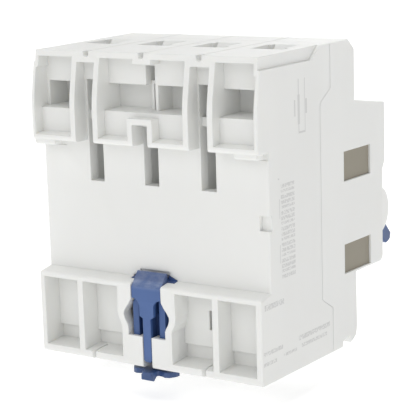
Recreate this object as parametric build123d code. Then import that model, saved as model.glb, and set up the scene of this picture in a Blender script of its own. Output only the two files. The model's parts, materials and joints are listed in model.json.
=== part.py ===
from build123d import *
from math import cos, pi, radians, sin
import os

# Four-pole residual current device for a 35 mm mounting rail, as an assembly of separate pieces.
# Frame: +X to the right seen from the toggle's side, +Y towards the rail, +Z up.  The origin is the
# centre of the seat that meets the rail.  Millimetres.  Each piece is written to parts/NAME.step.

# --- driving dimensions ------------------------------------------------------------------------------
MODULE = 18.0                     # width of one pole
POLES = 4
HALF = MODULE * POLES / 2         # half of the overall width
POLE_X = [HALF - MODULE * (i + 0.5) for i in range(POLES)]
JOINTS_X = [MODULE * k for k in (1, 0, -1)]      # where two poles meet
TOP, BOTTOM = 42.1, -41.4         # end faces of the housing
TOP_RISE = 0.75                   # the top face climbs by this much towards the front
REAR = 4.8                        # rear face of the blocks above and below the rail
REAR_TOP = 2.6                    # the upper block's rear face leans in to here at the top
SHOULDER = -44.9                  # front of the two terminal blocks
PANEL = -60.8                     # front face around the toggle
PANEL_UP = -62.2                  # front face of the label field, which stands proud
PANEL_STEP = 5.9                  # height where the label field begins
COLLAR_TOP, COLLAR_TOP_FRONT = 26.0, 23.6
COLLAR_BOTTOM = -21.7
SIDE_WALL = 1.1
SEAM_MID, SEAM_END = -25.9, -31.4  # parting line between base and cover, at mid height and at the ends
SEAM_GAP = 0.14
STRIP, STRIP_Z = 0.7, 38.9        # the sides step in by STRIP above this height
WALL = 1.6
REAR_WALL = 3.4
END_WALL = 1.9

# rear frames above the rail, and the pockets inside them
FRAME_Z = 18.0                    # underside of the frames
FRAME_LIP = 1.7
OUTER_FRAME_X = 21.1              # inner side of the outer frames
MID_FRAME_X = 15.3
POCKET_X = 13.6
POCKET_TOP = 40.3
GAP_TOP = 39.2                    # the gaps between frames end here
LEDGE_Z, LEDGE_Y = 26.8, 1.6      # step across each pocket
WINDOW_TOP = 33.5                 # terminal windows run from the ledge to here
BULKHEAD_Y = -1.0
SLOT_W, SLOT_BOTTOM, SLOT_FLOOR = 4.6, 7.06, -10.4     # vertical slots between the poles
# left and right side of each terminal window, and how deep its recess goes
WINDOWS = [(22.8, 34.0, -8.6), (1.5, 13.6, -5.6), (-13.6, -2.3, -7.2), (-34.0, -22.8, -8.2)]

# lower block
LOW_TOP, LOW_TOP_REAR = -17.9, -18.8
LOW_POCKET_TOP, LOW_POCKET_BOTTOM = -20.2, -39.5
LOW_FLOOR_Y, LOW_DEEP_Y, LOW_STEP_Z = -1.2, -2.2, -34.9
RIB_IN, RIB_OUT = 21.0, 22.9
SLIT_X, SLIT_Z = (-17.3, -16.15), (-30.2, -25.0)
CLIP_RIB = 8.1                    # the pockets beside the clip end here
CLIP_GUARD = [(6.0, -18.0), (9.3, -18.0), (9.5, -26.4), (9.1, -28.6), (CLIP_RIB, -30.5), (6.0, -30.5)]

# clip that grips the rail
CLIP_W = 4.7                      # half width of its head
CLIP_REAR = 4.65                  # its rear face lies just inside the housing's
CLIP_TOP = -15.85                 # the nose's upper edge, above the rail's lower edge
CLIP_SEAT = -0.03                 # beside the rail it stays just below the seat
NECK_W, STEM_W = 2.3, 1.25
CLIP_SHOULDER = [(4.4, -16.75), (7.0, -17.75), (7.0, -19.6)]     # top outline of its plate, beyond the head
ARM_IN, ARM_OUT, ARM_REAR = 3.3, 5.2, 3.45                       # free arms on both sides of the stem
CHANNEL_X, CHANNEL_FRONT, CHANNEL_REAR = 8.0, -2.1, 1.5
CLIP_SHELF, CLIP_GAP = -32.9, 1.5 # the opening narrows here to a gap for the stem

# terminals
TERMINAL_Z = 33.0
ENTRY_REAR, ENTRY_FRONT = -14.2, -23.2
ENTRY_X, ENTRY_FLARE = 3.9, 0.9     # half width of a conductor entry, and its flare per mm of depth
BAR_REAR, BAR_FRONT = -24.0, -25.5
CAGE_REAR, CAGE_NUT_REAR, CAGE_FRONT = -12.2, -28.5, -31.5
CAGE_X, CAGE_IN, CAGE_H = 4.8, 3.9, 9.0
SCREW_R, SCREW_HEAD_R, SCREW_HEAD_Y, SCREW_HEAD_H = 2.4, 3.3, -37.0, 3.0
ACCESS_R = 3.1

# toggle, linkage and contacts, in the plane across the width
TOGGLE_Y, TOGGLE_Z = -58.2, -7.0
TOGGLE_X0, TOGGLE_X1 = -32.6, -21.4
TOGGLE_R = 6.5
TOGGLE_REACH = 17.6
TOGGLE_DOWN = 39.0                # degrees below level when off, and above it when on
CHEEK_R = 7.0
CRANK_R = 3.6                      # from the drum's axis to the hole for the link
CRANK_LEAD = 22.0                  # degrees that this hole lies behind upright at mid travel
CARRIER_Y, CARRIER_Z = -30.5, 3.0
CARRIER_SWING = 20.0
LUG_R, LUG_LEAD = 14.4, 26.0
LINK_X, LINK_R = -22.4, 0.7
CONTACT_Z = 17.0
ARC_SHELF_Z = 24.4                # underside of the shelf between the contacts and the line terminals

TORUS_Y, TORUS_Z, TORUS_R, TORUS_HOLE, TORUS_H = -17.6, -17.0, 11.0, 6.2, 10.0
WIRE_R = 1.4
SIDE_WINDOWS = [(4.6, 12.8), (-21.0, -12.8)]     # heights of the windows in each side
WINDOW_Y0, WINDOW_Y1 = -53.4, -38.4
BUTTON_X, BUTTON_Z = (-15.6, -8.2), (-15.2, -7.8)
FLAG_X, FLAG_Z = (-14.6, -9.2), (-1.2, 3.0)
LABEL_X, LABEL_Z = (-33.0, 33.0), (8.4, 21.6)
RELAY_X, RELAY_Y, RELAY_Z = (0.5, 16.5), (PANEL + WALL, -44.5), (-18.6, -6.0)
PLUNGER = (3.6, -50.0)
LEVER_PIVOT = (-6.5, -1.6)
BOARD_Y = -57.2

parts = {}


# --- helpers -----------------------------------------------------------------------------------------
def block(x0, x1, y0, y1, z0, z1):
    """A box between two corners."""
    middle = Pos((x0 + x1) / 2, (y0 + y1) / 2, (z0 + z1) / 2)
    return middle * Box(abs(x1 - x0), abs(y1 - y0), abs(z1 - z0))


def across(points, x0, x1, round_at=None):
    """A prism along X from an outline of (y, z) points; round_at maps a point's index to its radius."""
    face = make_face(Polyline(*points, close=True))
    if round_at:
        for index, radius in round_at.items():
            y, z = points[index]
            near = min(face.vertices(), key=lambda v: (v.X - y) ** 2 + (v.Y - z) ** 2)
            face = fillet(near, radius)
    return extrude(Plane.YZ.offset(x0) * face, amount=x1 - x0)


def outward(points, y0, y1):
    """A prism along Y from an outline of (x, z) points."""
    return extrude(Plane.XZ.offset(-y1) * make_face(Polyline(*points, close=True)), amount=y1 - y0)


def upright(points, z0, z1):
    """A prism along Z from an outline of (x, y) points."""
    return extrude(Plane.XY.offset(z0) * make_face(Polyline(*points, close=True)), amount=z1 - z0)


def rod_x(radius, x0, x1, y, z):
    return Pos((x0 + x1) / 2, y, z) * Rot(0, 90, 0) * Cylinder(radius, abs(x1 - x0))


def rod_y(radius, x, y0, y1, z):
    return Pos(x, (y0 + y1) / 2, z) * Rot(90, 0, 0) * Cylinder(radius, abs(y1 - y0))


def rod_z(radius, x, y, z0, z1):
    return Pos(x, y, (z0 + z1) / 2) * Cylinder(radius, abs(z1 - z0))


def tube(points, radius, bend):
    """A round bar along straight runs joined by arcs."""
    path = FilletPolyline(*points, radius=bend) if len(points) > 2 else Line(*points)
    return sweep(Plane(path @ 0, z_dir=path % 0) * Circle(radius), path=path)


def coil(radius, wire, length, turns, origin, direction):
    """A round-wire coil spring that starts at origin and runs along direction."""
    path = Helix(pitch=length / turns, height=length, radius=radius)
    spring = sweep(Plane(path @ 0, z_dir=path % 0) * Circle(wire), path=path)
    return Plane(origin, z_dir=direction) * spring


def both_sides(shape):
    return shape + mirror(shape, about=Plane.YZ)


def turned(shape, y, z, degrees):
    """The shape turned about an axis along X through (y, z)."""
    return Pos(0, y, z) * Rot(degrees, 0, 0) * Pos(0, -y, -z) * shape


def keep(name, *shapes):
    """Stores a named piece; several shapes stay separate solids of one piece."""
    solids = [s for shape in shapes for s in shape.solids()]
    parts[name] = solids[0] if len(solids) == 1 else Compound(children=solids)


# --- housing -----------------------------------------------------------------------------------------
def seam_outline(offset, front):
    """The base's outline in (y, z): everything behind the parting line, moved forward by offset."""
    mid, end = SEAM_MID - offset, SEAM_END - offset
    rise = 3.3
    points = [(end, TOP + 5), (end, 30.8), (mid, 30.8 - rise), (mid, -25.5), (end, -25.5 - rise)]
    return points + [(end, BOTTOM - 5), (front, BOTTOM - 5), (front, TOP + 5)]


def outer_body():
    """The closed outer form of the whole housing, before it is parted and hollowed."""
    profile = [
        (REAR_TOP, TOP), (REAR, 29.0), (REAR, FRAME_Z), (0, FRAME_Z), (0, LOW_TOP),
        (REAR, LOW_TOP_REAR), (REAR, BOTTOM), (-37.2, BOTTOM), (-37.2, BOTTOM + 1.4),
        (-40.6, BOTTOM + 2.4), (-41.8, BOTTOM + 0.2),
        (-44.6, BOTTOM + 1.6), (-45.3, BOTTOM + 4.2), (SHOULDER, COLLAR_BOTTOM), (PANEL, COLLAR_BOTTOM),
        (PANEL, PANEL_STEP - 1.2), (PANEL_UP, PANEL_STEP + 0.8), (PANEL_UP, COLLAR_TOP_FRONT),
        (SHOULDER, COLLAR_TOP), (SHOULDER, TOP - 2.0), (-41.6, TOP + TOP_RISE),
    ]
    rounds = {1: 30.0, 2: 0.8, 5: 0.7, 6: 0.8, 11: 1.2, 14: 1.8, 17: 0.6, 19: 0.8, 20: 0.8}
    body = across(profile, -HALF, HALF, rounds)
    rims = [e for e in body.edges() if abs(abs(e.center().X) - HALF) < 1e-3]
    body = chamfer(rims, 0.3)
    strip = [(REAR + 1, STRIP_Z), (-21.7, STRIP_Z + 0.2), (-26.2, TOP + 0.6), (-26.2, TOP + 2),
             (REAR + 1, TOP + 2)]
    for side in (-1, 1):
        body -= across(strip, side * (HALF - STRIP), side * (HALF + 1))
    return body


def pole_groove(x):
    """The groove that marks the joint between two poles along the top face."""
    depth, front = 0.35, SHOULDER - 1
    rise = TOP_RISE * (REAR - front) / (REAR + 41.6)
    line = [(REAR + 1, TOP - depth), (front, TOP + rise - depth), (front, TOP + 3), (REAR + 1, TOP + 3)]
    return across(line, x - 0.2, x + 0.2)


def rear_frames(base):
    """Cuts the frames, pockets, terminal windows and slots into the block above the rail."""
    deep = REAR + 1
    for side in (-1, 1):                              # gaps between the outer and the middle frames
        x0, x1 = sorted((side * MID_FRAME_X, side * OUTER_FRAME_X))
        base -= block(x0, x1, 0, deep, FRAME_Z - 1, GAP_TOP)
    outer = (OUTER_FRAME_X + 1.7, HALF - SIDE_WALL - STRIP)
    pockets = [outer, (-outer[1], -outer[0]), (-POCKET_X, POCKET_X)]
    floor = [(BULKHEAD_Y, POCKET_TOP), (deep, POCKET_TOP + 0.3), (deep, FRAME_Z + FRAME_LIP - 0.4),
             (LEDGE_Y, FRAME_Z + FRAME_LIP + 0.3), (LEDGE_Y, LEDGE_Z - 0.3), (BULKHEAD_Y, LEDGE_Z)]
    notch_x, notch_z, ring = 2.4, 23.7, 1.6
    for x0, x1 in pockets:
        cut = across(floor, x0, x1)
        if x0 < 0 < x1:                               # the middle pocket keeps a ring round its notch
            wide = notch_x + ring
            cut -= block(-wide, wide, BULKHEAD_Y - 1, deep + 1, FRAME_Z, notch_z + ring)
            cut -= block(-2.9, 2.9, BULKHEAD_Y - 1, deep + 1, GAP_TOP, TOP)
        base -= cut
    for side in (-1, 1):                              # below the strip the outer walls are thinner
        x0, x1 = sorted((side * (HALF - SIDE_WALL - STRIP - 0.5), side * (HALF - SIDE_WALL)))
        base -= across([(p[0], min(p[1], STRIP_Z - 1.4)) for p in floor], x0, x1)
    base -= block(-notch_x, notch_x, 0, deep, FRAME_Z - 1, notch_z)
    for x0, x1, _ in WINDOWS:
        base -= block(x0, x1, -REAR_WALL - 3, BULKHEAD_Y + 0.5, LEDGE_Z, WINDOW_TOP)
    for x in JOINTS_X:                                # slots between the poles, with a rib across
        top = GAP_TOP - 4.8 if x else notch_z - 1.2
        base -= block(x - SLOT_W / 2, x + SLOT_W / 2, -REAR_WALL - 3, 0.01, SLOT_BOTTOM, top)
        if x:
            base += block(x - SLOT_W / 2, x + SLOT_W / 2, -REAR_WALL, -1.0, 23.6, 26.0)
        else:
            base -= block(-1.4, 1.5, -REAR_WALL - 3, BULKHEAD_Y + 0.5, LEDGE_Z, GAP_TOP - 0.6)
    for x in JOINTS_X:                                # notches in the top rear edge, and grooves
        base -= rod_y(0.85, x + 0.2, 0.9, REAR, TOP - 0.75)
        base -= block(x - 0.65, x + 1.05, 0.9, REAR, TOP - 0.7, TOP + 1)
        base -= pole_groove(x)
    for side in (-1, 1):                              # relief under the fixed hooks
        x0, x1 = sorted((side * 28.2, side * (HALF + 1)))
        base -= block(x0, x1, -0.2, 1, 16.2, FRAME_Z)
    lip = [(1.5, FRAME_Z + 0.2), (1.5, 16.7), (3.9, 16.7), (4.4, 17.3), (4.4, FRAME_Z + 0.2)]
    base += both_sides(across(lip, 28.6, 35.4))             # fixed hooks for the rail's upper edge
    return base


def clip_slot():
    """Outline of the opening that the clip's rear part moves in, as (x, z) points on the +X side."""
    bulge = [(4.9, -22.9), (5.7, -24.3), (6.8, -25.7), (7.35, -26.7), (7.4, -27.5), (7.0, -28.7),
             (6.3, -29.9), (6.0, -30.7)]
    gap = [(6.0, CLIP_SHELF), (CLIP_GAP, CLIP_SHELF), (CLIP_GAP, BOTTOM - 1)]
    return [(4.9, LOW_TOP + 1)] + bulge + gap


def lower_block(base):
    """Cuts the four pockets and the clip's guide into the block below the rail."""
    deep = REAR + 1
    outer = [(LOW_FLOOR_Y, LOW_POCKET_TOP), (deep, LOW_POCKET_TOP + 0.2),
             (deep, LOW_POCKET_BOTTOM + 0.2), (LOW_DEEP_Y, LOW_POCKET_BOTTOM + 0.8),
             (LOW_DEEP_Y, LOW_STEP_Z), (LOW_FLOOR_Y, LOW_STEP_Z)]
    clip_side = clip_slot()
    for side in (-1, 1):
        base -= across(outer, *sorted((side * RIB_OUT, side * (HALF - 1.7))))
        inner = across(outer, *sorted((side * CLIP_RIB, side * RIB_IN)))
        inner -= outward([(side * x, z) for x, z in CLIP_GUARD], -6, deep + 1)
        base -= inner
        x = side * MODULE
        slit = [(x - 0.9, REAR + 1), (x - 0.25, REAR - 1.6), (x - 0.25, -1.6), (x + 0.25, -1.6),
                (x + 0.25, REAR - 1.6), (x + 0.9, REAR + 1)]
        base -= upright(slit, BOTTOM - 1, LOW_POCKET_BOTTOM + 1.2)
    base -= block(*SLIT_X, -4.6, LOW_FLOOR_Y + 1, *SLIT_Z)              # slit in the floor of one pocket
    outline = clip_side + [(-x, z) for x, z in reversed(clip_side)]
    base -= outward(outline, 0, deep)
    gap = 0.15                                        # the channel's mouth follows the clip's shoulders
    shoulders = [(x + gap, z + gap) for x, z in CLIP_SHOULDER]
    mouth = [(0, LOW_POCKET_BOTTOM), (CHANNEL_X, LOW_POCKET_BOTTOM), (CHANNEL_X, -22.0)]
    mouth += shoulders[::-1] + [(0, shoulders[0][1])]
    base -= both_sides(outward(mouth, CHANNEL_FRONT, CHANNEL_REAR))
    nose = CLIP_W + gap                               # the seat is relieved behind the clip's nose
    base -= block(-nose, nose, -0.6, 0.1, CLIP_SHOULDER[0][1], CLIP_TOP + gap)
    base -= both_sides(block(3.0, 5.6, 0, ARM_REAR + 0.25, LOW_POCKET_BOTTOM + 0.4, -23.6))
    base -= block(-CLIP_GAP, CLIP_GAP, CHANNEL_FRONT, REAR + 1, BOTTOM - 1, CLIP_SHELF)
    return base


def blind_recess(x0, x1, floor, z0, z1):
    """A closed box on the inner side of the rear wall, behind an opening of that wall."""
    wall = 0.9
    box = block(x0 - wall, x1 + wall, floor - wall, -REAR_WALL + 0.1, z0 - wall, z1 + wall)
    return box - block(x0, x1, floor, 0, z0, z1)


def conductor_entry(base, x, s):
    """Cuts one flared conductor entry into the end face on the side s of the base."""
    end = TOP if s > 0 else BOTTOM
    flare = 2.0
    base += block(x - 5.6, x + 5.6, ENTRY_FRONT - 2.0, ENTRY_REAR + 1.2,
                  *sorted((end - s * (END_WALL + 1.7), end - s)))
    wide = ENTRY_FLARE * (flare + 1)
    front = [(ENTRY_REAR, end + s), (ENTRY_REAR, end - s * 5), (ENTRY_FRONT, end - s * 5),
             (ENTRY_FRONT, end - s * flare), (ENTRY_FRONT - wide, end + s)]
    side = [(x - ENTRY_X, end + s), (x - ENTRY_X, end - s * 5), (x + ENTRY_X, end - s * 5),
            (x + ENTRY_X, end - s * flare), (x + ENTRY_X + wide / 2, end + s)]
    base -= across(front, x - ENTRY_X, x + ENTRY_X) + outward(side, ENTRY_FRONT, ENTRY_REAR)
    notch = block(x - 5.2, x - ENTRY_X + 0.1, -17.4, ENTRY_REAR, *sorted((end - s * 1.4, end + s)))
    return base - notch


def base_housing():
    """Rear half of the housing."""
    rear = across(seam_outline(0, REAR + 10), -HALF - 1, HALF + 1)
    base = outer_body() & rear
    chamber = [(-REAR_WALL, 24.5), (-REAR_WALL - 1.2, 24.5), (-REAR_WALL - 1.2, TOP - END_WALL),
               (-50, TOP - END_WALL), (-50, BOTTOM + END_WALL), (-5.2, BOTTOM + END_WALL),
               (-5.2, -18.5), (-REAR_WALL, -18.5)]
    base -= across(chamber, -HALF + SIDE_WALL + 0.3, HALF - SIDE_WALL - 0.3)
    base = lower_block(rear_frames(base))
    for x in POLE_X:
        for s in (-1, 1):
            base = conductor_entry(base, x, s)
    for x in JOINTS_X:                                # walls between neighbouring terminals
        base += block(x - 0.8, x + 0.8, SEAM_END + 0.1, -9.0, 25.0, TOP - END_WALL + 0.1)
        base += block(x - 0.8, x + 0.8, SEAM_END + 0.1, -5.0, BOTTOM + END_WALL - 0.1, -28.0)
    for x0, x1, floor in WINDOWS:                     # windows and slots end in blind recesses
        base += blind_recess(x0, x1, floor, LEDGE_Z, WINDOW_TOP)
    for x in JOINTS_X:
        base += blind_recess(x - 3.1, x + 3.1, SLOT_FLOOR, 6.3, 23.8)
        if x:
            base += blind_recess(x - 3.1, x + 3.1, -8.0, 24.7, 34.6)
        else:
            base += blind_recess(-1.4, 0.6, SLOT_FLOOR, LEDGE_Z, WINDOW_TOP)
            base += blind_recess(-1.4, 1.5, -6.0, WINDOW_TOP + 1.0, GAP_TOP - 0.6)
    base -= block(-HALF - 1, -33.1, -1.2, 1, -1.9, 2.0)     # small notch beside the seat
    for side in (-1, 1):                              # inner tongues along the parting line
        tongue = across(seam_outline(1.5, SEAM_MID + 3), side * 33.5, side * (HALF - SIDE_WALL - 0.25))
        base += tongue & block(-HALF, HALF, -40, -22, BOTTOM + END_WALL + 0.4, TOP - END_WALL - 0.4)
    return base


def cover_shell():
    """Front half of the housing, hollowed but without its openings."""
    cover = outer_body() & across(seam_outline(SEAM_GAP, -90), -HALF - 1, HALF + 1)
    shoulder, panel = SHOULDER + WALL, PANEL + WALL
    hollow = [(-20, TOP - END_WALL), (shoulder, TOP - END_WALL), (shoulder, COLLAR_TOP - WALL),
              (panel, COLLAR_TOP_FRONT - WALL), (panel, COLLAR_BOTTOM + WALL),
              (shoulder, COLLAR_BOTTOM + WALL), (shoulder, BOTTOM + END_WALL + 2.2),
              (-38.5, BOTTOM + END_WALL + 2.2), (-35.2, BOTTOM + END_WALL), (-20, BOTTOM + END_WALL)]
    return cover - across(hollow, -HALF + SIDE_WALL, HALF - SIDE_WALL)


def front_cover():
    cover = cover_shell()
    for x in POLE_X:                                  # guides for the terminal screws
        for z in (TERMINAL_Z, -TERMINAL_Z):
            guide_end = SCREW_HEAD_Y - SCREW_HEAD_H - 0.4
            cover += block(x - 4.4, x + 4.4, SHOULDER + 0.8, guide_end, z - 4.4, z + 4.4)
            cover -= rod_y(ACCESS_R, x, SHOULDER - 2, SCREW_HEAD_Y - SCREW_HEAD_H, z)
            cover -= rod_y(ACCESS_R + 0.7, x, SHOULDER - 2, SHOULDER + 0.5, z)
    for x in JOINTS_X:
        for z in (TOP, BOTTOM):                       # grooves that mark the poles on the shoulders
            cover -= block(x - 0.25, x + 0.25, SHOULDER - 1, SHOULDER + 0.5, *sorted((z, z * 0.62)))
        cover -= pole_groove(x)
    for z0, z1 in SIDE_WINDOWS:
        for x0, x1 in ((-HALF - 1, -HALF + 3), (HALF - 3, HALF + 1)):
            cover -= block(x0, x1, WINDOW_Y0, WINDOW_Y1, z0, z1)
    slot0, slot1 = TOGGLE_X0 - 0.5, TOGGLE_X1 + 0.5   # the toggle's slot, with a cheek on each side
    cover += rod_x(CHEEK_R, -HALF + 0.5, slot0, TOGGLE_Y, TOGGLE_Z)
    cover += rod_x(CHEEK_R, slot1, TOGGLE_X1 + 2.4, TOGGLE_Y, TOGGLE_Z)
    cover -= block(slot0, slot1, PANEL - 5, PANEL + WALL + 0.1, TOGGLE_Z - 6.8, TOGGLE_Z + 6.8)
    cover -= rod_x(1.05, -HALF + 1.4, TOGGLE_X1 + 3, TOGGLE_Y, TOGGLE_Z)
    for side in (-1, 1):                              # bosses for the contact carrier's shaft
        boss = rod_x(2.6, side * 33.4, side * (HALF - SIDE_WALL), CARRIER_Y, CARRIER_Z)
        cover += boss - rod_x(1.25, side * 33, side * 34.8, CARRIER_Y, CARRIER_Z)
    cover += block(-HALF + 1, HALF - 1, SHOULDER + 1, -33.3, ARC_SHELF_Z, ARC_SHELF_Z + 1.2)
    for x in (22.0, 31.0):                            # posts for the circuit board
        for z in (-16.4, 0.4):
            cover += rod_y(1.2, x, PANEL + WALL - 0.2, BOARD_Y, z)
    cover -= block(*BUTTON_X, PANEL - 1, PANEL + WALL + 1, *BUTTON_Z)
    cover -= block(*FLAG_X, PANEL - 1, PANEL + WALL + 1, *FLAG_Z)
    cover -= block(*LABEL_X, PANEL_UP - 1, PANEL_UP + 0.5, *LABEL_Z)
    return cover


def side_plugs():
    names = {1: "right", -1: "left"}
    for side, word in names.items():
        for (z0, z1), level in zip(SIDE_WINDOWS, ("upper", "lower")):
            plate = block(*sorted((side * (HALF - 0.6), side * (HALF - SIDE_WALL - 0.1))),
                          WINDOW_Y0 + 0.05, WINDOW_Y1 - 0.05, z0 + 0.05, z1 - 0.05)
            flange = block(*sorted((side * (HALF - SIDE_WALL - 0.1), side * (HALF - SIDE_WALL - 1.0))),
                           WINDOW_Y0 + 1, WINDOW_Y1 - 1, z0 + 1, z1 - 1)
            keep(f"{word}_{level}_window_plug", plate + flange)


# --- rail clip ---------------------------------------------------------------------------------------
def rail_clip():
    """Sliding clip: a ramped nose, a plate in the channel, two free arms, a stem and a pull tab."""
    nose = [(-1.8, -17.7), (1.15, -17.7), (1.15, CLIP_TOP), (1.55, CLIP_TOP), (CLIP_REAR, -19.5),
            (CLIP_REAR, -21.8), (-1.8, -21.8)]
    head = across(nose, -CLIP_W, CLIP_W, {3: 0.3, 4: 0.5})
    hollow, steps = 2.2, 10
    side = [(CLIP_W, -21.0), (CLIP_W, -22.6), (NECK_W + hollow, -22.6)]
    for k in range(1, steps + 1):                     # the head narrows to the neck in a hollow curve
        a = pi / 2 * k / steps
        side.append((NECK_W + hollow * (1 - sin(a)), -22.6 - hollow * (1 - cos(a))))
    side += [(NECK_W, -27.3), (STEM_W, -27.9), (STEM_W, -39.2), (STEM_W - 0.5, -39.8)]
    outline = side + [(-x, z) for x, z in reversed(side)]
    clip = head + outward(outline, 3.6, CLIP_REAR) + block(-0.8, 0.8, 1.0, 3.7, -39.2, -21.0)
    clip += block(-NECK_W + 0.3, NECK_W - 0.3, 1.0, 3.7, -26.8, -21.0)
    plate = CLIP_SHOULDER + [(5.8, -21.4), (5.8, -34.0), (0, -34.0), (0, -17.7), (4.4, -17.7)]
    clip += both_sides(outward(plate, -1.8, 1.15))
    arm = [(ARM_IN, -21.2), (CLIP_W, -21.2), (CLIP_W, -23.2), (ARM_OUT, -24.4), (ARM_OUT, -33.6),
           (ARM_IN, -33.6)]
    clip += both_sides(outward(arm, 1.0, ARM_REAR))
    clip -= both_sides(block(1.9, ARM_IN, -0.4, 3.4, -33.0, -23.4))
    clip -= block(-8, 8, CLIP_SEAT, 1.15, LOW_TOP - 0.05, -15)          # the rail's edge lies in here
    return clip + block(-STEM_W, STEM_W, -1.8, 1.15, -42.6, -33.5) + pull_tab()


def pull_tab():
    """Thin winged tab under the housing with a nose that dips in the middle."""
    half = [(0, -1.8), (5.4, -1.4), (7.0, 0.2), (6.9, 1.6), (5.9, 3.2), (4.6, 3.7), (3.3, 3.1),
            (2.3, 3.0), (1.9, 3.6), (1.8, 5.2), (1.2, 5.7), (0, 5.7)]
    tab = both_sides(upright(half, -43.7, -42.3))
    tab = fillet(tab.edges().filter_by(Axis.Z), 0.3)
    dip = [(3.2, -43.0), (5.6, -43.0), (5.6, -44.5), (4.6, -44.9), (3.2, -43.7)]
    nose = across(dip, -1.7, 1.7, {3: 0.3})
    return tab + nose


# --- terminals ---------------------------------------------------------------------------------------
def terminals():
    """Cage, screw and bar of each of the eight terminals; the line side is on top."""
    for row, s in (("line", 1), ("load", -1)):
        for i, x in enumerate(POLE_X):
            z0, z1 = TERMINAL_Z - CAGE_H / 2, TERMINAL_Z + CAGE_H / 2
            cage = block(x - CAGE_X, x + CAGE_X, CAGE_FRONT, CAGE_REAR, s * z0, s * z1)
            cage = fillet(cage.edges().filter_by(Axis.Z), 0.8)
            cage -= block(x - CAGE_IN, x + CAGE_IN, CAGE_NUT_REAR, CAGE_REAR - 1.8,
                          s * (z0 - 1), s * (z1 + 1))
            for k in range(3):                        # grip ribs on the clamping face
                z = s * (TERMINAL_Z - 2.4 + 2.4 * k)
                cage += block(x - CAGE_IN, x + CAGE_IN, CAGE_REAR - 2.1, CAGE_REAR - 1.7,
                              z - 0.4, z + 0.4)
            cage -= rod_y(SCREW_R + 0.08, x, CAGE_FRONT - 1, CAGE_NUT_REAR + 1, s * TERMINAL_Z)
            keep(f"{row}_cage_{i + 1}", cage)
            keep(f"{row}_screw_{i + 1}", terminal_screw(x, s * TERMINAL_Z))
    for i, x in enumerate(POLE_X):
        line = [(BAR_REAR, 38.2), (BAR_REAR, 23.6), (-26.0, 21.6), (-26.0, 12.6), (-27.3, 12.6),
                (-27.3, 22.2), (BAR_FRONT, 24.2), (BAR_FRONT, 38.2)]
        pad = rod_y(2.1, x, -28.5, -27.3, CONTACT_Z)
        keep(f"line_bar_{i + 1}", across(line, x - 3.0, x + 3.0) + pad)


def terminal_screw(x, z):
    """Cross-slotted screw with ring grooves for its thread."""
    tip = BAR_FRONT - 0.2
    head_end = SCREW_HEAD_Y - SCREW_HEAD_H
    head = rod_y(SCREW_HEAD_R, x, head_end, SCREW_HEAD_Y, z)
    head = chamfer(head.edges().group_by(Axis.Y)[0], 0.4)
    screw = head + rod_y(SCREW_R, x, SCREW_HEAD_Y - 0.1, tip, z)
    pitch = 0.8
    ring = rod_y(SCREW_R + 1, x, 0, pitch * 0.45, z) - rod_y(SCREW_R - 0.28, x, -1, 2, z)
    turns = int((tip - SCREW_HEAD_Y - 1.6) / pitch)
    for k in range(turns):
        screw -= Pos(0, SCREW_HEAD_Y + 1.0 + k * pitch, 0) * ring
    for wide, high in ((2.5, 0.45), (0.45, 2.5)):     # half sizes of the cross slot's two arms
        screw -= block(x - wide, x + wide, head_end - 1, head_end + 1.7, z - high, z + high)
    return screw


# --- toggle, linkage and contacts --------------------------------------------------------------------
def crank_pin():
    """Where the link hooks into the toggle when it is off."""
    a = radians(90 + TOGGLE_DOWN - CRANK_LEAD)
    return TOGGLE_Y + CRANK_R * cos(a), TOGGLE_Z + CRANK_R * sin(a)


def lug_pin():
    """Where the link hooks into the contact carrier when it is off."""
    a = radians(90 + CARRIER_SWING / 2 - LUG_LEAD)
    return CARRIER_Y + LUG_R * cos(a), CARRIER_Z + LUG_R * sin(a)


def toggle():
    """Drum with a tapering lever, drawn level and then turned down to its off position."""
    drum = rod_x(TOGGLE_R, TOGGLE_X0, TOGGLE_X1, TOGGLE_Y, TOGGLE_Z)
    tip = TOGGLE_Y - TOGGLE_REACH
    outline = [(TOGGLE_Y, TOGGLE_Z + 4.4), (TOGGLE_Y - 5.5, TOGGLE_Z + 3.3), (tip + 1.0, TOGGLE_Z + 1.9),
               (tip, TOGGLE_Z), (tip + 1.0, TOGGLE_Z - 1.9), (TOGGLE_Y - 5.5, TOGGLE_Z - 3.3),
               (TOGGLE_Y, TOGGLE_Z - 4.4)]
    lever = across(outline, TOGGLE_X0, TOGGLE_X1, {1: 3.0, 2: 0.8, 3: 1.2, 4: 0.8, 5: 3.0})
    ends = [e for e in lever.edges() if e.center().Y < TOGGLE_Y - 7 and abs(e.tangent_at(0.5).X) < 0.1]
    lever = chamfer(ends, 0.45)
    handle = drum + lever
    for k in range(3):                                # grip lines across the lever's two faces
        y = tip + 2.2 + 1.5 * k
        for s in (-1, 1):
            z = TOGGLE_Z + s * (2.15 + 0.16 * k)
            handle -= rod_x(0.35, TOGGLE_X0 + 1.2, TOGGLE_X1 - 1.2, y, z)
    handle = turned(handle, TOGGLE_Y, TOGGLE_Z, TOGGLE_DOWN)
    handle -= rod_x(1.05, TOGGLE_X0 - 1, TOGGLE_X1 + 1, TOGGLE_Y, TOGGLE_Z)
    y, z = crank_pin()
    reach = 16                                        # room for the link's swing inside the drum
    turns = [radians(a) for a in (32, 70, 109)]
    fan = [(y, z)] + [(y + reach * cos(a), z + reach * sin(a)) for a in turns]
    room = offset(make_face(Polyline(*fan, close=True)), amount=LINK_R + 0.2)
    handle -= extrude(Plane.YZ.offset(TOGGLE_X1 - 2.2) * room, amount=3)
    handle -= rod_x(LINK_R + 0.08, TOGGLE_X1 - 5.6, TOGGLE_X1 - 2, y, z)
    return handle


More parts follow.
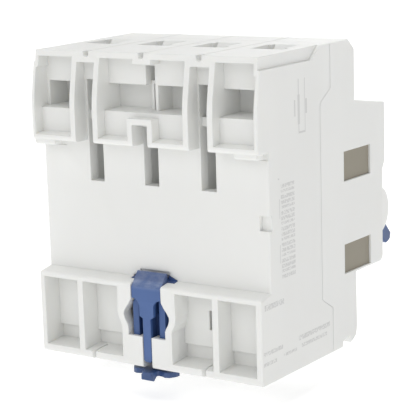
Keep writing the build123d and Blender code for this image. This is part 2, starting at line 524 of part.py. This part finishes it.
def linkage():
    y0, z0 = crank_pin()
    y1, z1 = lug_pin()
    keep("toggle", toggle())
    keep("toggle_pin", rod_x(1.0, -HALF + 1.5, TOGGLE_X1 + 2.3, TOGGLE_Y, TOGGLE_Z))
    points = [(LINK_X - 3.6, y0, z0), (LINK_X, y0, z0), (LINK_X, y1, z1), (LINK_X + 3.2, y1, z1)]
    keep("link_rod", tube(points, LINK_R, 0.8))


def contact_carrier():
    """Insulating bar that carries the four moving contacts, in its open position."""
    bar = rod_x(3.4, -32.9, 32.9, CARRIER_Y, CARRIER_Z)
    bar += block(-32.9, 32.9, CARRIER_Y - 3.4, CARRIER_Y + 2.2, CARRIER_Z, CARRIER_Z + 6.4)
    for x in POLE_X:
        bar -= block(x - 2.6, x + 2.6, CARRIER_Y - 0.7, CARRIER_Y + 0.7, CARRIER_Z + 1.6, CARRIER_Z + 8)
        bar -= rod_y(1.35, x, CARRIER_Y - 2.8, CARRIER_Y, CARRIER_Z + 4.6)
    bar -= block(LINK_X - 1.2, LINK_X + 1.1, CARRIER_Y - 5, CARRIER_Y + 5,
                 CARRIER_Z + 3.6, CARRIER_Z + 8)
    bar = turned(bar, CARRIER_Y, CARRIER_Z, CARRIER_SWING)
    y, z = lug_pin()
    outline = [(CARRIER_Y - 3.2, CARRIER_Z), (CARRIER_Y + 3.0, CARRIER_Z), (y + 2.3, z + 1.9),
               (y - 2.3, z + 2.2)]
    lug = across(outline, LINK_X + 1.1, LINK_X + 2.9, {2: 1.6, 3: 1.6})
    bar += lug - rod_x(LINK_R + 0.38, LINK_X, LINK_X + 4, y + 0.06, z + 0.29)
    bar -= rod_x(1.25, -34, 34, CARRIER_Y, CARRIER_Z)
    return bar


def contacts():
    keep("contact_carrier", contact_carrier())
    keep("carrier_shaft", rod_x(1.2, -34.6, 34.6, CARRIER_Y, CARRIER_Z))
    plates, springs = [], []
    for i, x in enumerate(POLE_X):
        spring = coil(1.0, 0.2, 1.7, 3, (x, CARRIER_Y - 2.5, CARRIER_Z + 4.6), (0, 1, 0))
        springs.append(turned(spring, CARRIER_Y, CARRIER_Z, CARRIER_SWING))
        arm = block(x - 2.5, x + 2.5, CARRIER_Y - 0.6, CARRIER_Y + 0.6, CARRIER_Z + 1.8, CONTACT_Z + 2.6)
        arm = fillet(arm.edges().filter_by(Axis.Y).group_by(Axis.Z)[-1], 1.4)
        arm += rod_y(2.0, x, CARRIER_Y + 0.5, CARRIER_Y + 1.8, CONTACT_Z)
        keep(f"moving_contact_{i + 1}", turned(arm, CARRIER_Y, CARRIER_Z, CARRIER_SWING))
        for k in range(5):                            # splitter plates above each contact
            y = -42.4 + 1.9 * k
            plates.append(block(x - 5.6, x + 5.6, y, y + 0.8, ARC_SHELF_Z - 3.8, ARC_SHELF_Z))
    keep("arc_splitter_plates", *plates)
    keep("contact_springs", *springs)


# --- sensing and tripping ----------------------------------------------------------------------------
def sensing():
    core = rod_z(TORUS_R - 1.5, 0, TORUS_Y, TORUS_Z - TORUS_H / 2 + 1.5, TORUS_Z + TORUS_H / 2 - 1.5)
    core -= rod_z(TORUS_HOLE + 1.2, 0, TORUS_Y, TORUS_Z - 9, TORUS_Z + 9)
    case = rod_z(TORUS_R, 0, TORUS_Y, TORUS_Z - TORUS_H / 2, TORUS_Z + TORUS_H / 2)
    case = fillet(case.edges(), 1.0) - rod_z(TORUS_HOLE, 0, TORUS_Y, TORUS_Z - 9, TORUS_Z + 9)
    winding = rod_z(TORUS_R - 0.8, 0, TORUS_Y, TORUS_Z - TORUS_H / 2 + 0.8, TORUS_Z + TORUS_H / 2 - 0.8)
    winding -= rod_z(TORUS_HOLE + 0.6, 0, TORUS_Y, TORUS_Z - 9, TORUS_Z + 9)
    keep("transformer_case", case - winding)
    keep("secondary_winding", winding - core)
    keep("transformer_core", core)
    above, below = TORUS_Z + TORUS_H / 2 + 4.0, TORUS_Z - TORUS_H / 2 - 2.5
    for i, x in enumerate(POLE_X):                    # one conductor of each pole crosses the ring
        s = 1 if x > 0 else -1
        y = TORUS_Y + (2.6 if abs(x) > MODULE else -2.6)
        tail = (x, CARRIER_Y + 0.9)
        wire = tube([(*tail, CARRIER_Z - 5.0), (*tail, above), (x, y, above), (s * 2.6, y, above),
                     (s * 2.6, y, below), (x, y, below), (x, BAR_REAR - 0.2, below)], WIRE_R, 2.3)
        bar = block(x - 3.0, x + 3.0, BAR_FRONT, BAR_REAR, -37.6, -22.6)
        keep(f"load_conductor_{i + 1}", wire + bar)


def tripping():
    body = block(*RELAY_X, *RELAY_Y, *RELAY_Z)
    body = fillet(body.edges().filter_by(Axis.Z), 0.8)
    bore = rod_z(2.4, *PLUNGER, RELAY_Z[1] - 9.0, RELAY_Z[1] + 1)
    keep("trip_relay", body - bore)
    plunger = rod_z(1.2, *PLUNGER, RELAY_Z[1] - 5.0, RELAY_Z[1] + 3.3)
    plunger += rod_z(2.2, *PLUNGER, RELAY_Z[1] - 5.6, RELAY_Z[1] - 4.6)
    keep("trip_plunger", plunger)
    keep("trip_spring", coil(1.75, 0.22, 2.9, 5, (*PLUNGER, RELAY_Z[1] - 8.75), (0, 0, 1)))
    px, pz = LEVER_PIVOT
    lever = block(px - 10.6, px + 11.6, -51.6, -48.4, pz - 0.8, pz + 0.8)
    lever += rod_y(2.2, px, -51.6, -48.4, pz)
    lever -= rod_y(1.05, px, -53, -47, pz)
    keep("trip_lever", lever)
    keep("trip_lever_pin", rod_y(1.0, px, PANEL + WALL, -46.6, pz))
    board = block(20.0, 33.0, BOARD_Y, BOARD_Y + 1.6, -18.0, 2.0)
    keep("relay_board", board)
    cans = [rod_y(2.4, 23.4, -55.6, -48.4, -14.0), rod_y(2.4, 29.4, -55.6, -48.4, -14.0),
            block(22.0, 31.0, -55.6, -53.4, -8.0, -4.4)]
    keep("board_components", *cans)


def test_circuit():
    """Push button, its return spring, the contact strip that it presses and the resistor in series."""
    x0, x1 = BUTTON_X[0] + 0.2, BUTTON_X[1] - 0.2
    z0, z1 = BUTTON_Z[0] + 0.2, BUTTON_Z[1] - 0.2
    cap = block(x0, x1, PANEL - 1.6, PANEL + WALL + 0.6, z0, z1)
    cap = fillet(cap.faces().sort_by(Axis.Y)[0].edges(), 0.7)
    cap += block(x0 - 1.0, x1 + 1.0, PANEL + WALL + 0.25, PANEL + WALL + 1.25, z0 - 1.0, z1 + 1.0)
    x, z = (x0 + x1) / 2, (z0 + z1) / 2
    cap += rod_y(1.0, x, PANEL + WALL + 1.0, PANEL + WALL + 4.4, z)
    keep("test_button", cap)
    start = PANEL + WALL + 1.45
    keep("test_spring", coil(1.9, 0.25, 4.6, 5, (x, start, z), (0, 1, 0)))
    strip = block(x - 2.2, x + 2.2, start + 5.0, start + 5.5, z - 6.6, z + 4.0)
    strip += block(x - 2.2, x + 2.2, PANEL + WALL, start + 5.5, z - 7.1, z - 6.6)
    keep("test_contact", strip)
    y = start + 7.1
    resistor = rod_z(1.5, x, y, z - 3.4, z + 4.4)
    resistor += rod_z(0.4, x, y, z - 5.6, z - 3.3) + rod_y(0.4, x, start + 5.5, y + 0.2, z - 5.4)
    keep("test_resistor", resistor)


def indicator():
    """Contact position flag behind its lens, and the plate in the label field."""
    x0, x1 = FLAG_X
    z0, z1 = FLAG_Z
    lens = block(x0 + 0.05, x1 - 0.05, PANEL + 0.2, PANEL + 1.0, z0 + 0.05, z1 - 0.05)
    keep("indicator_lens", lens)
    flag_y = PANEL + WALL + 0.5
    middle = (z0 + z1) / 2
    keep("indicator_flag", block(x0 - 0.8, x1 + 0.8, flag_y, flag_y + 0.8, middle - 2.4, middle + 7.6))
    keep("front_label", block(LABEL_X[0] + 0.1, LABEL_X[1] - 0.1, PANEL_UP + 0.25, PANEL_UP + 0.5,
                              LABEL_Z[0] + 0.1, LABEL_Z[1] - 0.1))


keep("base_housing", base_housing())
keep("front_cover", front_cover())
side_plugs()
keep("rail_clip", rail_clip())
terminals()
linkage()
contacts()
sensing()
tripping()
test_circuit()
indicator()

os.makedirs("parts", exist_ok=True)
for name, shape in parts.items():
    export_step(shape, f"parts/{name}.step")
    print(f"{name:28s} solids {len(shape.solids())}  volume {shape.volume:9.1f}")
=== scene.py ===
import json
from math import cos, radians, sin

import bpy
from mathutils import Matrix, Vector


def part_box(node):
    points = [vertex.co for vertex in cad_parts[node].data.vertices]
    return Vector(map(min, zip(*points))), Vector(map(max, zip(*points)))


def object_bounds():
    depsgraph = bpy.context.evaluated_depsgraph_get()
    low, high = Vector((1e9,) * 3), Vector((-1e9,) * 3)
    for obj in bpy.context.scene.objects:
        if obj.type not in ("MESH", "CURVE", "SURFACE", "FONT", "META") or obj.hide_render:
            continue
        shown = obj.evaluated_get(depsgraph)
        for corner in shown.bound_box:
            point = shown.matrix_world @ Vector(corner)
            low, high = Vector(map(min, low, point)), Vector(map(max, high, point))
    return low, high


# Looks of the four-pole residual current device: materials, printed marks, floor, lights and camera.
# Metres, except where a name or a comment says mm.
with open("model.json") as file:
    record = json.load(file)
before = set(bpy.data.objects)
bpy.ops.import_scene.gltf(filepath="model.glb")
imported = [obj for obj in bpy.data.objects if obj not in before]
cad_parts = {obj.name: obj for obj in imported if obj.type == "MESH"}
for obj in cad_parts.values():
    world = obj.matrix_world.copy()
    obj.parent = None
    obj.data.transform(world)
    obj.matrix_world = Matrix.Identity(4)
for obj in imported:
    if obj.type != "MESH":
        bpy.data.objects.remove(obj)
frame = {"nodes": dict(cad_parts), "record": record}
cad_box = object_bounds()
MM = 0.001

# --- colours and finishes -------------------------------------------------------------------------
WHITE = (0.815, 0.818, 0.800)
BLUE = (0.046, 0.100, 0.262)
# The second colour here and the first on the next line are painted shade for the clip's recess and its pull
# tab, not the plastic's own colour.
SCUFFED_BLUE, RECESS_SHADE_BLUE = (0.32, 0.37, 0.50), (0.022, 0.050, 0.165)
TAB_SHADE_BLUE, GRIP_BLUE = (0.014, 0.032, 0.092), (0.02, 0.05, 0.14)
PLUG = (0.287, 0.263, 0.210)
ZINC = (0.62, 0.63, 0.62)
COPPER = (0.72, 0.36, 0.22)


# --- node material helpers ------------------------------------------------------------------------
class Nodes:
    """A material and short calls that add nodes to it."""

    def __init__(self, name):
        self.mat = bpy.data.materials.new(name)
        self.mat.use_nodes = True
        self.tree = self.mat.node_tree
        self.bsdf = self.tree.nodes["Principled BSDF"]
        self.coord = self.tree.nodes.new("ShaderNodeTexCoord").outputs["Object"]
        split = self.tree.nodes.new("ShaderNodeSeparateXYZ")
        self.link(self.coord, split.inputs[0])
        self.x, self.y, self.z = split.outputs

    def link(self, a, b):
        self.tree.links.new(a, b)

    def set(self, **values):
        for key, value in values.items():
            self.bsdf.inputs[key.replace("_", " ")].default_value = value

    def scaled(self, x=1.0, y=1.0, z=1.0):
        node = self.tree.nodes.new("ShaderNodeMapping")
        node.inputs["Scale"].default_value = (x, y, z)
        self.link(self.coord, node.inputs["Vector"])
        return node.outputs["Vector"]

    def noise(self, scale, detail=3.0, rough=0.55, vector=None, distort=0.0):
        node = self.tree.nodes.new("ShaderNodeTexNoise")
        node.inputs["Scale"].default_value = scale
        node.inputs["Detail"].default_value = detail
        node.inputs["Roughness"].default_value = rough
        node.inputs["Distortion"].default_value = distort
        self.link(vector or self.coord, node.inputs["Vector"])
        return node.outputs["Fac"]

    def ramp(self, fac, *stops):
        node = self.tree.nodes.new("ShaderNodeValToRGB")
        ramp = node.color_ramp
        while len(ramp.elements) < len(stops):
            ramp.elements.new(0.5)
        for element, (place, colour) in zip(ramp.elements, stops):
            element.position = place
            rgb = colour if isinstance(colour, tuple) else (colour, colour, colour)
            element.color = (*rgb, 1.0)
        self.link(fac, node.inputs["Fac"])
        return node.outputs["Color"]

    def mix(self, fac, a, b, mode="MIX"):
        node = self.tree.nodes.new("ShaderNodeMix")
        node.data_type = "RGBA"
        node.blend_type = mode
        for socket, value in ((node.inputs[0], fac), (node.inputs[6], a), (node.inputs[7], b)):
            if hasattr(value, "links"):
                self.link(value, socket)
            elif isinstance(value, tuple):
                socket.default_value = (*value, 1.0)
            else:
                socket.default_value = value
        return node.outputs[2]

    def math(self, mode, *values):
        node = self.tree.nodes.new("ShaderNodeMath")
        node.operation = mode
        for socket, value in zip(node.inputs, values):
            if hasattr(value, "links"):
                self.link(value, socket)
            else:
                socket.default_value = value
        return node.outputs[0]

    def edges(self, low=0.5, high=0.6):
        """White on outer edges, black elsewhere."""
        geometry = self.tree.nodes.new("ShaderNodeNewGeometry")
        return self.ramp(geometry.outputs["Pointiness"], (low, 0.0), (high, 1.0))

    def times(self, *masks):
        """Product of masks and plain numbers."""
        whole = masks[0]
        for mask in masks[1:]:
            whole = self.math("MULTIPLY", whole, mask)
        return whole

    def band(self, axis, start, end):
        """One where the coordinate lies between start and end, in mm."""
        return self.math("COMPARE", axis, (start + end) / 2 * MM, abs(end - start) / 2 * MM)

    def patch(self, a, a0, a1, b, b0, b1):
        """One inside a rectangle on two axes, in mm."""
        return self.math("MULTIPLY", self.band(a, a0, a1), self.band(b, b0, b1))

    def either(self, *masks):
        whole = masks[0]
        for mask in masks[1:]:
            whole = self.math("MAXIMUM", whole, mask)
        return whole

    def cells(self, x, y, z, share):
        """Random cells of the given size in mm; share of them are one, the others zero."""
        snap = self.tree.nodes.new("ShaderNodeVectorMath")
        snap.operation = "SNAP"
        self.link(self.coord, snap.inputs[0])
        snap.inputs[1].default_value = (x * MM, y * MM, z * MM)
        noise = self.tree.nodes.new("ShaderNodeTexWhiteNoise")
        self.link(snap.outputs[0], noise.inputs["Vector"])
        return self.math("LESS_THAN", noise.outputs["Value"], share)

    def fade(self, axis, start, end):
        """Zero at start and one at end, in mm along the axis."""
        node = self.tree.nodes.new("ShaderNodeMapRange")
        self.link(axis, node.inputs["Value"])
        node.inputs["From Min"].default_value = start * MM
        node.inputs["From Max"].default_value = end * MM
        return node.outputs["Result"]

    def tint(self, fac, colour):
        """Lays colour over the base colour that is already linked."""
        socket = self.bsdf.inputs["Base Color"]
        self.link(self.mix(fac, socket.links[0].from_socket, colour), socket)

    def bump(self, height, strength, distance, rounded=0.0):
        node = self.tree.nodes.new("ShaderNodeBump")
        node.inputs["Strength"].default_value = strength
        node.inputs["Distance"].default_value = distance
        self.link(height, node.inputs["Height"])
        if rounded:
            bevel = self.tree.nodes.new("ShaderNodeBevel")
            bevel.samples = 6
            bevel.inputs["Radius"].default_value = rounded
            self.link(bevel.outputs["Normal"], node.inputs["Normal"])
        self.link(node.outputs["Normal"], self.bsdf.inputs["Normal"])


def moulded(name, colour, rough=0.5, grain=0.10, spread=0.04, rounded=0.25, scatter=0.0, wear=0.10,
            marks=None):
    """Moulded plastic: eroded-tool grain, faint flow marks, handled edges."""
    m = Nodes(name)
    dark = tuple(c * (1 - spread) for c in colour)
    light = tuple(min(1.0, c * (1 + spread)) for c in colour)
    flow = m.noise(26, 4, 0.6, m.scaled(1, 1, 0.35), 0.8)
    base = m.ramp(flow, (0.32, dark), (0.68, light))
    speck = m.ramp(m.noise(2600, 2, 0.5), (0.40, 0.0), (0.75, 1.0))
    base = m.mix(m.math("MULTIPLY", speck, spread * 0.5), base, dark)
    worn = tuple(min(1.0, c * (1 + wear) + wear * 0.05) for c in colour)
    base = m.mix(m.math("MULTIPLY", m.edges(0.53, 0.62), 0.6), base, worn)
    m.link(base, m.bsdf.inputs["Base Color"])
    smear = m.noise(70, 4, 0.65)
    m.link(m.ramp(smear, (0.3, rough - 0.07), (0.7, rough + 0.08)), m.bsdf.inputs["Roughness"])
    grainy = m.math("ADD", m.noise(3400, 3, 0.6), m.math("MULTIPLY", m.noise(900, 2, 0.5), 0.6))
    m.bump(grainy, grain, 0.00006, rounded * MM)
    if scatter:
        m.set(Subsurface_Weight=scatter, Subsurface_Scale=0.0012)
        m.bsdf.inputs["Subsurface Radius"].default_value = (1.0, 0.95, 0.85)
    m.bsdf.inputs["IOR"].default_value = 1.5
    if marks:
        marks(m)
    return m.mat


def metal(name, colour, rough=0.34, streak=(1, 1, 1), grain=0.25, tarnish=0.25):
    """Plated or drawn metal with streaks, tarnish and bright edges."""
    m = Nodes(name)
    dull = tuple(c * (1 - tarnish) for c in colour)
    cloud = m.noise(220, 5, 0.65, None, 0.6)
    base = m.ramp(cloud, (0.32, dull), (0.66, colour))
    bright = tuple(min(1.0, c * 1.25) for c in colour)
    base = m.mix(m.math("MULTIPLY", m.edges(0.53, 0.62), 0.7), base, bright)
    m.link(base, m.bsdf.inputs["Base Color"])
    lines = m.noise(1400, 4, 0.6, m.scaled(*streak))
    m.link(m.ramp(lines, (0.3, rough - 0.08), (0.7, rough + 0.12)), m.bsdf.inputs["Roughness"])
    m.bump(lines, grain, 0.00004, 0.12 * MM)
    m.set(Metallic=1.0)
    return m.mat


# --- printed marks and wear -----------------------------------------------------------------------
INK = (0.20, 0.20, 0.205)
ANY = 1000                                   # a cell size that takes in the whole part
SIDE_FACE = (-36.1, -35.9)                   # the printed side's place on X
ROWS_Y = (-5.6, -12.3)                       # the stack of short printed rows on the side
ROWS_TOP, ROWS_STEP, ROWS_COUNT = 9.3, 1.38, 18
ROW_HEIGHT, ROW_LESS = 1.0, 0.25             # every third row is lower
SIDE_STRENGTH, FRONT_STRENGTH, LABEL_STRENGTH = 0.27, 0.8, 0.85
SIGN_ABOVE, SIGN_BELOW = (8.6, 11.0), 10.0   # the on sign's ends and the off sign's centre, from the toggle
# rows and lines on the side face: start and end along Y, then along Z, in mm
SIDE_ROWS = [(3.2, -6.2, -21.8, -20.3), (-13.3, -29.8, -33.5, -32.2), (-14.8, -28.1, -35.6, -34.6),
             (-5.6, -12.2, -35.8, -35.0), (4.0, -5.3, -33.5, -32.4), (4.0, -2.2, -36.2, -35.2)]
SIDE_LINES = [(-14.9, -15.3, 21.1, 35.0), (-18.1, -18.4, 21.0, 35.0), (-14.9, -18.4, 21.0, 21.5),
              (-4.8, -5.1, 0.6, 5.6), (-4.8, -5.1, -11.0, -6.2), (-12.9, -13.5, 25.6, 29.8),
              (-14.6, -15.7, 23.4, 31.0), (-4.4, -5.0, 10.6, 11.0), (-18.5, -19.3, 25.8, 29.6)]


def side_marks(m):
    """Rows of illegible small print, a pin plan and rules on the housing's -X side."""
    face = m.band(m.x, *SIDE_FACE)
    small = m.cells(ANY, 0.27, 0.31, 0.72)
    rows = []
    for k in range(ROWS_COUNT):
        top = ROWS_TOP - ROWS_STEP * k
        low = top - ROW_HEIGHT + ROW_LESS * (k % 3 == 1)
        rows.append(m.patch(m.y, *ROWS_Y, m.z, low, top))
    rows += [m.patch(m.y, y0, y1, m.z, z0, z1) for y0, y1, z0, z1 in SIDE_ROWS]
    lines = [m.patch(m.y, y0, y1, m.z, z0, z1) for y0, y1, z0, z1 in SIDE_LINES]
    printed = m.either(m.times(m.either(*rows), small), *lines)
    m.tint(m.times(printed, face, SIDE_STRENGTH), INK)


def cover_marks(m):
    """The switch's on and off signs beside the toggle, over the side print."""
    side_marks(m)
    low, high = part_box("toggle")
    x, z = (low[0] + high[0]) / 2 / MM, (low[2] + high[2]) / 2 / MM
    front = m.math("LESS_THAN", m.y, -58 * MM)
    bar = m.patch(m.x, x - 0.3, x + 0.3, m.z, z + SIGN_ABOVE[0], z + SIGN_ABOVE[1])
    across = m.math("POWER", m.math("SUBTRACT", m.x, x * MM), 2.0)
    up = m.math("POWER", m.math("SUBTRACT", m.z, (z - SIGN_BELOW) * MM), 2.0)
    away = m.math("SQRT", m.math("ADD", across, up))
    ring = m.math("COMPARE", away, 1.1 * MM, 0.25 * MM)
    m.tint(m.times(m.either(bar, ring), front, FRONT_STRENGTH), INK)


def label_marks(m):
    """A wiring plan and rows of illegible print on the front label."""
    low, high = ([v / MM for v in corner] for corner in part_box("front_label"))
    x0, x1, z0, z1 = low[0] + 1.2, high[0] - 1.2, low[2] + 1.2, high[2] - 1.2
    front = m.math("LESS_THAN", m.y, (low[1] + 0.05) * MM)
    width, middle, rule = x1 - x0, (z0 + z1) / 2, 0.25
    rows = []
    for k, share in enumerate((0.42, 0.30, 0.46, 0.36)):
        top = z1 - 1.2 - 2.2 * k
        rows.append(m.patch(m.x, x0 + 1, x0 + width * share, m.z, top - 1.2, top))
    plan = []
    for k in range(4):
        x = x1 - width * 0.42 + 3.2 * k
        plan.append(m.patch(m.x, x, x + rule, m.z, z0 + 1, z1 - 1))
    plan.append(m.patch(m.x, x1 - width * 0.46, x1 - 1, m.z, middle, middle + rule))
    small = m.cells(0.42, ANY, 0.36, 0.66)
    printed = m.either(m.times(m.either(*rows), small), *plan)
    m.tint(m.times(printed, front, LABEL_STRENGTH), INK)


def clip_wear_and_shade(m):
    """The clip's nose is scuffed pale; painted shade darkens its recessed parts and the pull tab under the
    body.
    """
    scuff = m.ramp(m.noise(420, 5, 0.7, m.scaled(0.5, 1, 1)), (0.38, 0.25), (0.62, 1.0))
    nose = m.times(m.fade(m.z, -20.2, -18.6), m.fade(m.y, 0.8, 1.6))
    m.tint(m.times(nose, scuff, 0.70), SCUFFED_BLUE)
    # Painted shade: the clip's parts deeper than Y 3.0 mm, in the recess, are darkened.
    m.tint(m.times(m.fade(m.y, 3.5, 3.0), 0.45), RECESS_SHADE_BLUE)
    # Painted shade: the pull tab under the body is darkened towards its bottom.
    m.tint(m.times(m.fade(m.z, -38.0, -42.3), 0.45), TAB_SHADE_BLUE)


def toggle_wear(m):
    """The grip end is darker with handling."""
    low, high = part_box("toggle")
    reach = m.fade(m.y, (low[1] + 0.6 * (high[1] - low[1])) / MM, low[1] / MM)
    m.tint(m.times(reach, 0.5), GRIP_BLUE)


# --- materials of the pieces ----------------------------------------------------------------------
def assign(node, mat):
    data = frame["nodes"][node].data
    data.materials.clear()
    data.materials.append(mat)


HOUSING_FINISH = (0.46, 0.10, 0.012, 0.30, 0.25, 0.06)
BLUE_FINISH = (0.36, 0.10, 0.10, 0.22, 0.0, 0.35)
mats = {
    "housing_plastic": moulded("warm_white_plastic", WHITE, *HOUSING_FINISH, side_marks),
    "blue_plastic": moulded("blue_plastic", BLUE, *BLUE_FINISH),
    "plug_plastic": moulded("olive_plug_plastic", PLUG, 0.62, 0.25, 0.10, 0.10),
    "zinc_steel": metal("zinc_plate", ZINC, 0.38),
    "copper": metal("copper_strip", COPPER, 0.32, (0.2, 0.2, 1)),
    "spring_steel": metal("spring_wire", (0.50, 0.50, 0.51), 0.28, (1, 1, 0.1)),
    "inner_plastic": moulded("dark_plastic", (0.035, 0.035, 0.038), 0.5, 0.15, 0.15, 0.15),
    "ferrite": moulded("core_strip", (0.05, 0.05, 0.055), 0.45, 0.3, 0.2, 0.1),
    "circuit_board": moulded("board_laminate", (0.02, 0.13, 0.05), 0.35, 0.08, 0.12, 0.05),
    "component_plastic": moulded("component_case", (0.025, 0.026, 0.03), 0.42, 0.2, 0.2, 0.1),
    "resistor_body": moulded("resistor_lacquer", (0.50, 0.36, 0.20), 0.3, 0.05, 0.1, 0.1),
    "button_plastic": moulded("grey_button_plastic", (0.42, 0.43, 0.42), 0.4, 0.1, 0.03, 0.25),
    "label_film": moulded("label_film", (0.78, 0.78, 0.77), 0.46, 0.04, 0.01, 0.0,
                          marks=label_marks),
}


def lens_material():
    m = Nodes("clear_lens")
    m.set(Base_Color=(0.93, 0.96, 0.97, 1), Transmission_Weight=1.0, IOR=1.49)
    m.link(m.ramp(m.noise(300, 3), (0.3, 0.03), (0.8, 0.12)), m.bsdf.inputs["Roughness"])
    m.bump(m.noise(160, 3), 0.05, 0.00005)
    return m.mat


def flag_material():
    """Lower part green for off, upper part red for on."""
    m = Nodes("flag_paint")
    low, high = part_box("indicator_flag")
    upper = m.math("GREATER_THAN", m.z, (low[2] + high[2]) / 2)
    paint = m.mix(upper, (0.02, 0.22, 0.05), (0.45, 0.02, 0.015))
    dust = m.ramp(m.noise(500, 3), (0.4, 0.0), (0.8, 0.3))
    m.link(m.mix(dust, paint, (0.2, 0.2, 0.2)), m.bsdf.inputs["Base Color"])
    m.link(m.ramp(m.noise(200, 3), (0.3, 0.35), (0.8, 0.5)), m.bsdf.inputs["Roughness"])
    m.bump(m.noise(1500, 3), 0.1, 0.00005)
    return m.mat


mats["clear_plastic"] = lens_material()
mats["flag_paint"] = flag_material()
for entry in frame["record"]["subparts"]:
    assign(entry["node"], mats[entry["material_slot"]])
assign("front_cover", moulded("marked_cover_plastic", WHITE, *HOUSING_FINISH, cover_marks))
# The clip's material carries scuff wear and painted shade in its recess and on its pull tab.
assign("rail_clip", moulded("worn_and_shaded_clip_plastic", BLUE, *BLUE_FINISH, clip_wear_and_shade))
assign("toggle", moulded("worn_toggle_plastic", BLUE, *BLUE_FINISH, toggle_wear))


# --- floor, lights and camera ---------------------------------------------------------------------
FLOOR_GAP = 5.0                              # the clip slides down by 4.5 mm and stays above the floor


def floor():
    mesh = bpy.data.meshes.new("floor")
    z = cad_box[0][2] - FLOOR_GAP * MM
    half = 9.0
    corners = [(-half, -half, z), (half, -half, z), (half, half, z), (-half, half, z)]
    mesh.from_pydata(corners, [], [(0, 1, 2, 3)])
    obj = bpy.data.objects.new("floor", mesh)
    bpy.context.collection.objects.link(obj)
    m = Nodes("floor_paper")
    m.link(m.ramp(m.noise(3, 3), (0.3, 0.50), (0.7, 0.53)), m.bsdf.inputs["Base Color"])
    m.set(Roughness=0.9, Emission_Color=(1, 1, 1, 1), Emission_Strength=0.62)
    mesh.materials.append(m.mat)


def soft_sun(name, source, angle, strength):
    """Even light from a wide patch of sky in the direction of source."""
    data = bpy.data.lights.new(name, "SUN")
    data.angle = radians(angle)
    data.energy = strength
    obj = bpy.data.objects.new(name, data)
    obj.rotation_euler = Vector(source).to_track_quat("Z", "Y").to_euler()
    bpy.context.collection.objects.link(obj)


CAMERA_ANGLES = (214.14, 11.22, -1.632)      # azimuth, elevation and roll, in degrees
CAMERA_PLACE = (-0.23628, 0.32178, 0.07933)
CAMERA_LENS, CAMERA_SENSOR = 132.5, 36


def camera():
    azimuth, elevation, roll = (radians(angle) for angle in CAMERA_ANGLES)
    back = Vector((sin(azimuth) * cos(elevation), -cos(azimuth) * cos(elevation), sin(elevation)))
    right = (-back).cross(Vector((0, 0, 1))).normalized()
    up = right.cross(-back)
    x = right * cos(roll) + up * sin(roll)
    y = up * cos(roll) - right * sin(roll)
    data = bpy.data.cameras.new("camera")
    data.lens, data.sensor_width = CAMERA_LENS, CAMERA_SENSOR
    data.clip_start, data.clip_end = 0.01, 60
    obj = bpy.data.objects.new("camera", data)
    place = Matrix((x, y, back)).transposed().to_4x4()
    place.translation = Vector(CAMERA_PLACE)
    obj.matrix_world = place
    bpy.context.collection.objects.link(obj)
    bpy.context.scene.camera = obj


def studio():
    world = bpy.data.worlds.new("studio")
    world.use_nodes = True
    background = world.node_tree.nodes["Background"]
    background.inputs["Color"].default_value = (1, 1, 1, 1)
    background.inputs["Strength"].default_value = 0.33
    bpy.context.scene.world = world
    soft_sun("rear", (0.20, 0.82, 0.62), 40, 0.62)
    soft_sun("top", (0.1, -0.1, 1.0), 50, 1.40)
    soft_sun("left_side", (-0.76, 0.58, 0.30), 40, 0.40)
    soft_sun("right_side", (1.0, -0.2, 0.2), 50, 0.55)
    soft_sun("front", (0.1, -0.95, 0.35), 50, 0.86)
    bpy.context.scene.view_settings.view_transform = "Standard"


floor()
studio()
camera()
